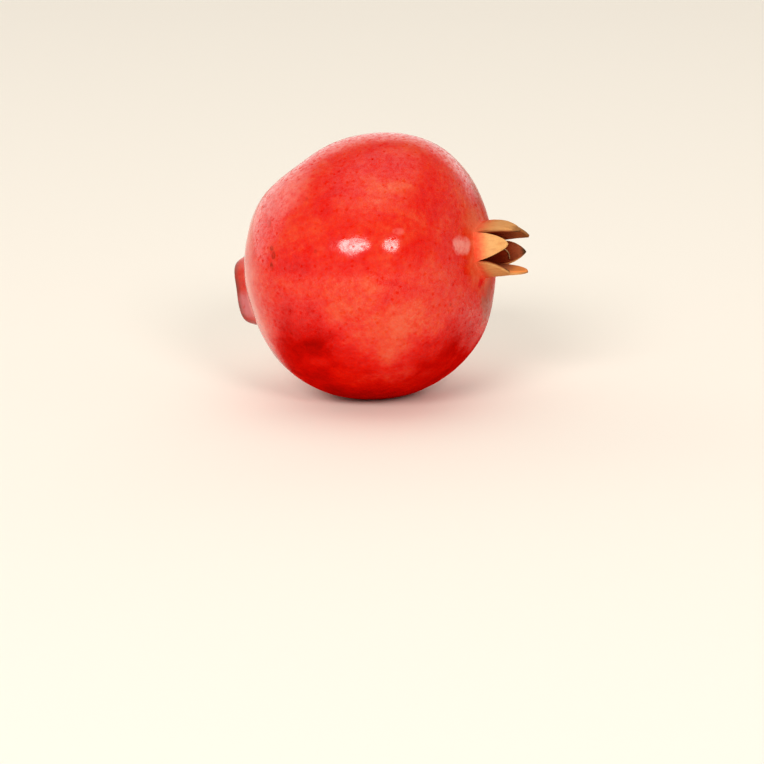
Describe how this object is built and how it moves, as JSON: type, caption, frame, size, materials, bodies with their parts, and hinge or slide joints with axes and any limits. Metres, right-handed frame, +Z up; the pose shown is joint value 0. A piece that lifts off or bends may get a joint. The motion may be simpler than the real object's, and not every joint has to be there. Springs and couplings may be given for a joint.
{
  "type": "pomegranate",
  "caption": "Whole ripe pomegranate lying on its side, with a leathery red rind, an open calyx crown, dried stamens in its cup and a cut stalk.",
  "frame": {"origin": "middle of the small flat spot that the fruit rests on", "axes": "+Z up; +X level along the fruit, from its stalk end towards its crown, which rises 12 degrees above it; +Y to the back"},
  "size_m": [0.1039, 0.0904, 0.091],
  "materials": {
    "rind": "smooth waxy rind, mottled red to coral with deeper red below, tan sepals, satin gloss",
    "dried_stamens": "dry brown threads with darker ends, matt",
    "stalk_wood": "dry bark with a pale cut end, matt"
  },
  "bodies": {
    "root": {"fruit": "rind", "stamens": "dried_stamens", "stalk": "stalk_wood"}
  },
  "joints": []
}
